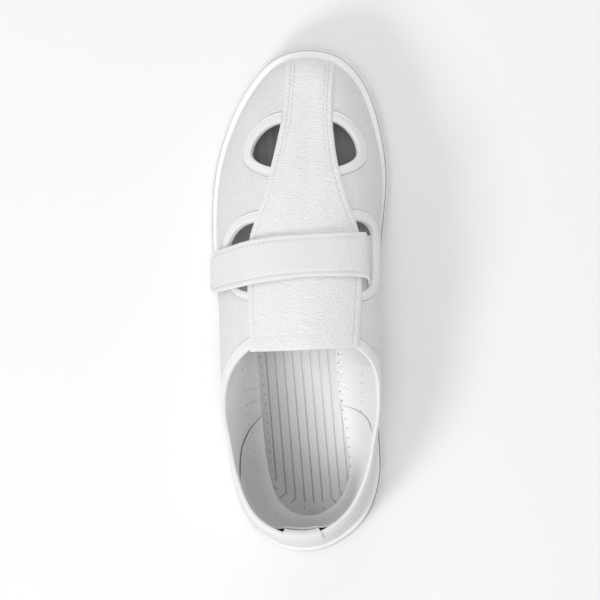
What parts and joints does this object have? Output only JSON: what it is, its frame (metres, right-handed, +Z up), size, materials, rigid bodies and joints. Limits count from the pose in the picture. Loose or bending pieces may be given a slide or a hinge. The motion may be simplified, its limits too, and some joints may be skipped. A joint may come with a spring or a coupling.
{
  "type": "cleanroom shoe",
  "caption": "White slip-on cleanroom shoe for the left foot: cup sole, vented hollow upper with bound eyes, centre strip with tongue flap, elastic instep strap and grooved insole.",
  "frame": {"origin": "centre of the bounding box, on the floor plane under the sole", "axes": "+Y towards the toe, +X to the medial side, +Z up"},
  "size_m": [0.0976, 0.276, 0.09],
  "materials": {
    "outsole": "satin white moulded polyurethane",
    "upper": "white coated synthetic leather with fine grain",
    "vamp_strip": "white coated synthetic leather with fine grain",
    "instep_strap": "white ribbed elastic with a smooth coated tab",
    "binding": "white smooth folded tape",
    "heel_tab": "white woven tape",
    "heel_counter": "light grey lining",
    "insole": "pale grey grooved footbed"
  },
  "bodies": {
    "root": {"outsole": "outsole", "upper": "upper", "vamp_strip": "vamp_strip", "instep_strap": "instep_strap", "collar_binding": "binding", "eye_binding_front_lateral": "binding", "eye_binding_front_medial": "binding", "eye_binding_rear_lateral": "binding", "eye_binding_rear_medial": "binding", "heel_tab": "heel_tab", "heel_counter": "heel_counter", "insole": "insole"}
  },
  "joints": []
}
